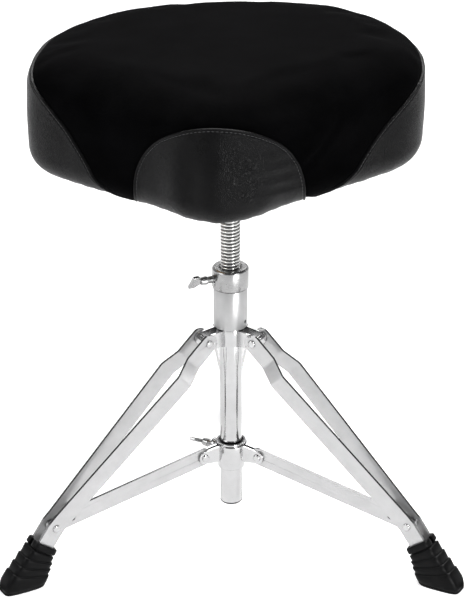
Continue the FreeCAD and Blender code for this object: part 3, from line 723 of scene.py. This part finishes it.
def place_stitches(bm, seam, verts, normals):
    """Topstitching along the leatherette's folded edges, one short capsule of thread after another."""
    on_line = {v.index for v in bm.verts if abs(seam[v.index] - STITCH_AT) < 1e-6}
    follow = {i: [] for i in on_line}
    for edge in bm.edges:
        a, b = edge.verts[0].index, edge.verts[1].index
        if a in on_line and b in on_line:
            follow[a].append(b)
            follow[b].append(a)
    chains = []
    left = set(on_line)
    starts = [i for i in on_line if len(follow[i]) == 1]
    for first in starts + list(on_line):
        if first not in left:
            continue
        chain = [first]
        left.discard(first)
        while True:
            ahead = [i for i in follow[chain[-1]] if i in left]
            if not ahead:
                break
            chain.append(ahead[0])
            left.discard(ahead[0])
        if len(chain) > 10:
            chains.append(chain)
    out_verts, out_faces = [], []
    for chain in chains:
        path = verts[chain]
        lift = normals[chain]
        steps = np.linalg.norm(np.diff(path, axis=0), axis=1)
        length = np.concatenate([[0.0], np.cumsum(steps)])
        for middle in np.arange(STITCH_PITCH / 2, length[-1], STITCH_PITCH):
            ends = []
            for at in (middle - STITCH_LENGTH / 2, middle + STITCH_LENGTH / 2):
                ends.append(np.array([np.interp(at, length, path[:, k]) for k in range(3)]))
            normal = np.array([np.interp(middle, length, lift[:, k]) for k in range(3)])
            add_capsule(out_verts, out_faces, ends[0], ends[1], normal, STITCH_R)
    threads = new_object("topstitching", np.array(out_verts) * MM, out_faces, THREAD_BLACK)
    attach(threads, "seat")


def add_capsule(verts, faces, start, end, normal, radius):
    """Short arched thread between two points, sunk at both ends."""
    along = end - start
    size = np.linalg.norm(along)
    along = along / size
    side = np.cross(along, normal)
    side /= np.linalg.norm(side)
    up = np.cross(side, along)
    base = len(verts)
    sides, stations = 6, [(0.0, 0.15, -0.35), (0.08, 0.75, -0.05), (0.3, 1.0, 0.2), (0.7, 1.0, 0.2),
                          (0.92, 0.75, -0.05), (1.0, 0.15, -0.35)]
    for share, width, lift in stations:
        middle = start + along * size * share + up * lift * radius * 2.0
        for k in range(sides):
            turn = 2 * math.pi * k / sides
            verts.append(middle + (side * math.cos(turn) + up * math.sin(turn)) * radius * width)
    for i in range(len(stations) - 1):
        for k in range(sides):
            a = base + i * sides + k
            b = base + i * sides + (k + 1) % sides
            faces.append((a, b, b + sides, a + sides))
    faces.append([base + k for k in range(sides)][::-1])
    faces.append([base + (len(stations) - 1) * sides + k for k in range(sides)])


# ================================================================ underside of the seat
DUST_EDGE = 37.0               # inset of the dust cloth's hem from the outline
DUST_TOP = 453.6
BOARD_INSET = 23.0
BOARD_LOW = 455.0
BOARD_HIGH = 467.0
STAPLES = 54
STAPLE_LENGTH = 9.0


def build_board(points, inward):
    """Plywood board leaning with the cushion.  At its low side it crosses the dust cloth."""
    edge = points + inward * BOARD_INSET
    count = len(edge)
    verts = []
    for z, inset in ((BOARD_LOW, 1.0), (BOARD_LOW + 1.0, 0.0), (BOARD_HIGH - 1.0, 0.0), (BOARD_HIGH, 1.0)):
        for (x, y), (inward_x, inward_y) in zip(edge, inward):
            verts.append((x + inward_x * inset, y + inward_y * inset, z + SEAT_TILT * (x - SEAT_CENTRE[0])))
    faces = [tuple(range(count))[::-1], tuple(range(3 * count, 4 * count))]
    for i in range(3):
        for j in range(count):
            k = (j + 1) % count
            faces.append((i * count + j, i * count + k, (i + 1) * count + k, (i + 1) * count + j))
    board = new_object("seat_board_ply", np.array(verts) * MM, faces, MATERIALS["board_wood"], smooth=False)
    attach(board, "seat")
    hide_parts("seat_board")


def build_underside():
    """Board, and the dust cloth stapled over the cover's flange."""
    points, inward = plan_outline(180)
    build_board(points, inward)
    edge = points + inward * DUST_EDGE
    centre = edge.mean(axis=0)
    rings = 26
    verts = [(centre[0], centre[1], DUST_TOP)]
    for i in range(1, rings + 1):
        share = i / rings
        for j in range(180):
            x, y = centre + (edge[j] - centre) * share
            ripple = 0.35 * noise.noise(Vector((x, y, 3.0)) * 0.03) * share
            drop = 2.6 * max(0.0, (share - 0.9) / 0.1)
            lean = SEAT_TILT * (x - SEAT_CENTRE[0]) * max(0.0, (share - 0.75) / 0.25)
            verts.append((x, y, DUST_TOP - drop + ripple + lean))
    faces = [(0, 1 + (j + 1) % 180, 1 + j) for j in range(180)]
    for i in range(rings - 1):
        low = 1 + i * 180
        for j in range(180):
            k = (j + 1) % 180
            faces.append((low + j, low + k, low + 180 + k, low + 180 + j))
    cloth = new_object("dust_cloth_sheet", np.array(verts) * MM, faces, MATERIALS["dust_cloth"])
    thick = cloth.modifiers.new("thickness", "SOLIDIFY")
    thick.thickness = 0.4 * MM
    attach(cloth, "seat")
    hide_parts("dust_cover")

    out_verts, out_faces = [], []
    hem = points + inward * (DUST_EDGE + 5.0)
    for k in range(STAPLES):
        j = int(k * 180 / STAPLES)
        turn = random.uniform(-0.35, 0.35)
        tangent = np.array([inward[j][1], -inward[j][0]])
        along = tangent * math.cos(turn) + inward[j] * math.sin(turn)
        lean = SEAT_TILT * (hem[j][0] - SEAT_CENTRE[0])
        at = np.array([hem[j][0], hem[j][1], DUST_TOP - 2.3 + lean])
        ends = [at + np.array([*(along * s), 0.0]) * STAPLE_LENGTH / 2 for s in (-1, 1)]
        add_capsule(out_verts, out_faces, ends[0], ends[1], np.array([0.0, 0.0, -1.0]), 0.55)
    staples = new_object("dust_cloth_staples", np.array(out_verts) * MM, out_faces, STAPLE_STEEL)
    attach(staples, "seat")


# ================================================================ threaded spindle
def build_spindle():
    """Round-edged trapezoidal screw thread, cut as one helix."""
    depth = THREAD_CREST - THREAD_ROOT
    profile = [(0.00, THREAD_ROOT + 0.25 * depth), (0.06, THREAD_ROOT), (0.24, THREAD_ROOT),
               (0.30, THREAD_ROOT + 0.25 * depth), (0.42, THREAD_ROOT + 0.82 * depth), (0.48, THREAD_CREST),
               (0.82, THREAD_CREST), (0.88, THREAD_ROOT + 0.82 * depth)]
    per_turn = len(profile)
    columns = 72
    turns = int((SPINDLE_HIGH - SPINDLE_LOW) / THREAD_PITCH) + 3
    rows = turns * per_turn
    verts = []
    for i in range(rows):
        turn, k = divmod(i, per_turn)
        phase, radius = profile[k]
        for j in range(columns):
            angle = 2 * math.pi * j / columns
            z = SPINDLE_LOW + (turn - 1.5 + phase + j / columns) * THREAD_PITCH
            near_end = min(z - SPINDLE_LOW, SPINDLE_HIGH - z)
            r = min(radius, THREAD_ROOT - 0.6 + max(near_end, 0.0))
            verts.append((r * math.cos(angle), r * math.sin(angle), min(max(z, SPINDLE_LOW), SPINDLE_HIGH)))
    faces = []
    for i in range(rows - 1):
        for j in range(columns):
            if j < columns - 1:
                a, b = i * columns + j, i * columns + j + 1
                faces.append((a, b, b + columns, a + columns))
            elif i + per_turn + 1 < rows:
                a, b = i * columns + j, (i + per_turn) * columns
                faces.append((a, b, b + columns, a + columns))
    spindle = new_object("spindle_thread", np.array(verts) * MM, faces, MATERIALS["thread_steel"])
    bm = bmesh.new()
    bm.from_mesh(spindle.data)
    for z, up in ((SPINDLE_LOW, -1), (SPINDLE_HIGH, 1)):
        ring = bmesh.ops.create_circle(bm, cap_ends=True, segments=48, radius=THREAD_ROOT * MM,
                                       matrix=Matrix.Translation((0, 0, z * MM)))
        faces_made = {f for v in ring["verts"] for f in v.link_faces}
        for face in faces_made:
            if face.normal.z * up < 0:
                face.normal_flip()
    bmesh.ops.dissolve_degenerate(bm, dist=1e-7, edges=bm.edges)
    bm.to_mesh(spindle.data)
    bm.free()
    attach(spindle, "spindle")
    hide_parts("threaded_spindle")


# ================================================================ rubber feet
# rows from the pocket's floor over the mouth to the sole: distance along the foot at its outer
# and inner side, and how far the skin stands out
BOOT_POCKET = 38.0
BOOT_WALL = 3.6
BOOT_ROWS = [
    (22.8, 22.8, -1.6), (22.1, 22.1, -0.8), (22.0, 22.0, 0.0), (22.5, 22.5, 0.9), (23.6, 23.6, 1.4),
    (28.6, 28.2, 1.4), (29.6, 29.2, 0.9), (30.1, 29.6, 0.0), (30.6, 30.0, -1.0), (31.6, 30.8, -1.1),
    (32.2, 31.3, 0.6), (32.8, 31.8, 1.1), (37.5, 34.0, 0.5), (42.6, 36.6, 0.0), (43.3, 37.2, -0.5),
    (43.9, 37.7, 0.9), (44.6, 38.3, 1.3), (49.5, 40.6, 0.6), (54.2, 43.0, 0.0), (54.9, 43.7, -0.5),
    (55.5, 44.3, 0.9), (56.2, 45.0, 1.3), (61.0, 47.4, 0.6), (65.6, 50.0, 0.0), (66.3, 50.8, -0.5),
    (66.9, 51.5, 0.9), (67.8, 52.4, 1.3), (73.0, 57.0, 1.2), (79.0, 63.0, 1.2), (84.0, 69.0, 0.9),
    (88.0, 75.0, 0.2),
    (92.0, 82.0, -0.9), (96.0, 90.0, -2.4), (110.0, 110.0, -4.5)]


def boot_extents(u):
    """Outer reach, inner reach and half width of the foot's core at a distance along it, in mm."""
    outer = np.interp(u, [22, 30, 44, 67, 80, 92, 110], [12.8, 13.2, 14.6, 17.0, 17.2, 14.5, 4.0])
    inner = np.interp(u, [22, 30, 38, 50, 60, 110], [-15.0, -15.8, -19.0, -23.0, -25.0, -27.0])
    half = np.interp(u, [22, 30, 60, 110], [12.0, 12.1, 12.4, 12.4])
    return outer, inner, half


def build_boots():
    """Ribbed rubber foot, lofted along the straps' lower ends and cut flat at the floor."""
    columns = 64
    power = 0.42               # how square the sections are
    tail = math.radians(TAIL_ANGLE)
    direction = np.array([math.cos(tail), 0.0, -math.sin(tail)])
    outward = np.array([math.sin(tail), 0.0, math.cos(tail)])
    origin = np.array([FOOT_RIVET[0], 0.0, FOOT_RIVET[1]])
    rows = [(BOOT_POCKET, BOOT_POCKET, -BOOT_WALL), (30.0, 30.0, -BOOT_WALL), (24.5, 24.5, -BOOT_WALL + 0.3),
            (23.4, 23.4, -2.6)] + BOOT_ROWS
    verts = []
    for u_out, u_in, skin in rows:
        for j in range(columns):
            turn = 2 * math.pi * j / columns
            c, s = math.cos(turn), math.sin(turn)
            across = math.copysign(abs(c) ** power, c)
            beside = math.copysign(abs(s) ** power, s)
            share = ((1.0 - across) / 2.0) ** 1.5
            u = u_out + (u_in - u_out) * share
            outer, inner, half = boot_extents(u)
            middle, reach = (outer + inner) / 2, (outer - inner) / 2
            p = middle + (reach + skin) * across
            t = (half + skin) * beside
            verts.append(origin + direction * u + outward * p + np.array([0.0, t, 0.0]))
    faces = [[j for j in range(columns)][::-1]]
    for i in range(len(rows) - 1):
        for j in range(columns):
            k = (j + 1) % columns
            faces.append((i * columns + j, i * columns + k, (i + 1) * columns + k, (i + 1) * columns + j))
    faces.append([(len(rows) - 1) * columns + j for j in range(columns)])
    master = new_object("boot_master", np.array(verts) * MM, faces, MATERIALS["rubber"])
    bm = bmesh.new()
    bm.from_mesh(master.data)
    bmesh.ops.recalc_face_normals(bm, faces=bm.faces)
    cut = bmesh.ops.bisect_plane(bm, geom=bm.verts[:] + bm.edges[:] + bm.faces[:], plane_co=(0, 0, 0),
                                 plane_no=(0, 0, 1), clear_inner=True)
    rim = [e for e in cut["geom_cut"] if isinstance(e, bmesh.types.BMEdge)]
    bmesh.ops.holes_fill(bm, edges=rim, sides=0)
    for height in (0.8, 2.6, 3.2, 3.8, 4.4):
        bmesh.ops.bisect_plane(bm, geom=bm.verts[:] + bm.edges[:] + bm.faces[:], plane_co=(0, 0, height * MM),
                               plane_no=(0, 0, 1))
    bm.normal_update()
    moves = []
    for vert in bm.verts:
        z = vert.co.z / MM
        flat = Vector((vert.normal.x, vert.normal.y, 0.0))
        if flat.length > 1e-3:
            flat.normalize()
        sink = np.interp(z, [0.0, 0.8, 2.6, 3.2, 3.8, 4.4], [0.9, 0.1, 0.0, 0.55, 0.55, 0.0])
        moves.append((vert, flat * sink * MM))
    for vert, move in moves:
        vert.co -= move
    bm.to_mesh(master.data)
    bm.free()
    master.data.shade_smooth()
    notch = bpy.data.meshes.new("notch")
    bm = bmesh.new()
    bmesh.ops.create_cube(bm, size=1.0)
    bm.to_mesh(notch)
    bm.free()
    cutter = bpy.data.objects.new("notch_cutter", notch)
    bpy.context.scene.collection.objects.link(cutter)
    middle = origin + direction * 22.0 + outward * 15.0
    turn = Matrix.Rotation(tail, 4, "Y")
    cutter.matrix_world = (Matrix.Translation(Vector(middle) * MM) @ turn
                           @ Matrix.Diagonal((18.0 * MM, 4.8 * MM, 20.0 * MM, 1.0)))
    bpy.context.view_layer.update()
    cut = master.modifiers.new("notch", "BOOLEAN")
    cut.operation = "DIFFERENCE"
    cut.solver = "EXACT"
    cut.object = cutter
    apply_modifiers(master)
    bpy.data.objects.remove(cutter)
    for leg, angle in LEG_ANGLES.items():
        mesh = master.data.copy()
        mesh.transform(Matrix.Rotation(math.radians(angle), 4, "Z"))
        boot = bpy.data.objects.new("%s_boot" % leg, mesh)
        bpy.context.scene.collection.objects.link(boot)
        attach(boot, "%s_leg" % leg)
        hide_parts("%s_rubber_foot" % leg)
    bpy.data.objects.remove(master)


# ================================================================ studio
FLOOR_HALF = 9.0
WORLD_STRENGTH = 0.9
WORLD_GREYS = ((0.05, 0.95), (0.22, 0.80), (0.45, 0.42), (0.75, 0.20))     # height of the gaze and grey
GOBO_NEAR, GOBO_FAR = 0.22, 0.53       # distances of a dark strip's ends from the column axis
GOBO_SPREAD = 0.07                     # half width of the strip per distance
GOBO_BEARINGS = {"gobo_left": 205.0, "gobo_right": 335.0}
# name, place, point aimed at, width, height, watts, and whether only reflections see it
LIGHTS = [
    ("key", (1.2, -1.1, 2.4), (0, 0, 0.3), 0.9, 0.9, 46.0, False),
    ("fill", (-2.0, -0.9, 1.7), (0, 0, 0.3), 1.4, 1.4, 30.0, False),
    ("rim", (0.3, 2.3, 2.2), (0, 0, 0.4), 2.0, 0.8, 34.0, False),
    ("nose_gloss", (0.58, -0.95, 0.2), (0.05, -0.18, 0.54), 0.25, 0.4, 8.0, True),
    ("ridge_gloss", (0.1, 0.45, 1.9), (0.0, -0.15, 0.56), 1.2, 0.6, 110.0, True),
]


def build_studio():
    world = bpy.data.worlds.new("studio")
    bpy.context.scene.world = world
    world.use_nodes = True
    tree = world.node_tree
    background = tree.nodes["Background"]
    coords = tree.nodes.new("ShaderNodeTexCoord")
    split = tree.nodes.new("ShaderNodeSeparateXYZ")
    tree.links.new(coords.outputs["Generated"], split.inputs[0])
    ramp = tree.nodes.new("ShaderNodeValToRGB")
    ramp.color_ramp.elements[0].position = 0.0
    ramp.color_ramp.elements[0].color = (0.92, 0.92, 0.93, 1)
    ramp.color_ramp.elements[1].position = 1.0
    ramp.color_ramp.elements[1].color = (0.16, 0.16, 0.165, 1)
    for position, grey in WORLD_GREYS:
        element = ramp.color_ramp.elements.new(position)
        element.color = (grey, grey, grey * 1.01, 1)
    tree.links.new(split.outputs["Z"], ramp.inputs["Fac"])
    tree.links.new(ramp.outputs["Color"], background.inputs["Color"])
    background.inputs["Strength"].default_value = WORLD_STRENGTH

    floor_mesh = bpy.data.meshes.new("floor")
    corners = [(x * FLOOR_HALF, y * FLOOR_HALF, 0) for x, y in ((-1, -1), (1, -1), (1, 1), (-1, 1))]
    floor_mesh.from_pydata(corners, [], [(0, 1, 2, 3)])
    floor = bpy.data.objects.new("studio_floor", floor_mesh)
    bpy.context.scene.collection.objects.link(floor)
    paper = Shader("studio_paper").set(Roughness=0.9, Specular_IOR_Level=0.1)
    shade = paper.noise(2.0, 2.0, 0.5)
    paper.to(paper.patchy(shade, 0.3, 0.7, (0.90, 0.90, 0.90), (0.87, 0.87, 0.875)), "Base Color")
    paper.set(Emission_Strength=0.5)
    paper.bsdf.inputs["Emission Color"].default_value = (1.0, 1.0, 1.0, 1.0)
    floor_mesh.materials.append(paper.material)

    for name, place, target, width, height, watts, reflections_only in LIGHTS:
        light = bpy.data.lights.new(name, "AREA")
        light.shape = "RECTANGLE"
        light.size, light.size_y, light.energy = width, height, watts
        lamp = bpy.data.objects.new(name, light)
        bpy.context.scene.collection.objects.link(lamp)
        lamp.location = place
        lamp.rotation_euler = (Vector(target) - Vector(place)).to_track_quat("-Z", "Y").to_euler()
        lamp.visible_diffuse = not reflections_only

    # dark gobos, seen only in reflections, give the tubes their crisp lines
    gobo_mesh = bpy.data.meshes.new("gobo")
    ends = ((GOBO_NEAR, -1), (GOBO_FAR, -1), (GOBO_FAR, 1), (GOBO_NEAR, 1))
    strip = [(reach, side * reach * GOBO_SPREAD, 0) for reach, side in ends]
    gobo_mesh.from_pydata(strip, [], [(0, 1, 2, 3)])
    gobo_mesh.materials.append(plain("gobo_black", (0.03, 0.03, 0.03), (0.02, 0.02, 0.02), 0.9, 3.0))
    for name, bearing in GOBO_BEARINGS.items():
        gobo = bpy.data.objects.new(name, gobo_mesh)
        bpy.context.scene.collection.objects.link(gobo)
        gobo.location = (0, 0, 0.0005)
        gobo.rotation_euler = (0, 0, math.radians(bearing))
        gobo.visible_camera = False
        gobo.visible_diffuse = False
        gobo.visible_shadow = False


def build_camera():
    camera = bpy.data.cameras.new("camera")
    camera.lens = CAMERA_LENS
    camera.sensor_width = 36.0
    camera.sensor_fit = "AUTO"
    camera.shift_x = CAMERA_SHIFT
    camera.dof.use_dof = False
    camera.clip_end = 50.0
    holder = bpy.data.objects.new("camera", camera)
    bpy.context.scene.collection.objects.link(holder)
    pitch = Matrix.Rotation(math.radians(90.0 - CAMERA_PITCH), 4, "X")
    roll = Matrix.Rotation(math.radians(CAMERA_ROLL), 4, "Z")
    holder.matrix_world = Matrix.Translation(CAMERA_AT) @ pitch @ roll
    bpy.context.scene.camera = holder


finish_cad_nodes()
build_spindle()
build_boots()
build_seat()
build_underside()
build_studio()
build_camera()
bpy.context.scene.view_settings.view_transform = "Standard"
bpy.context.scene.view_settings.look = "None"
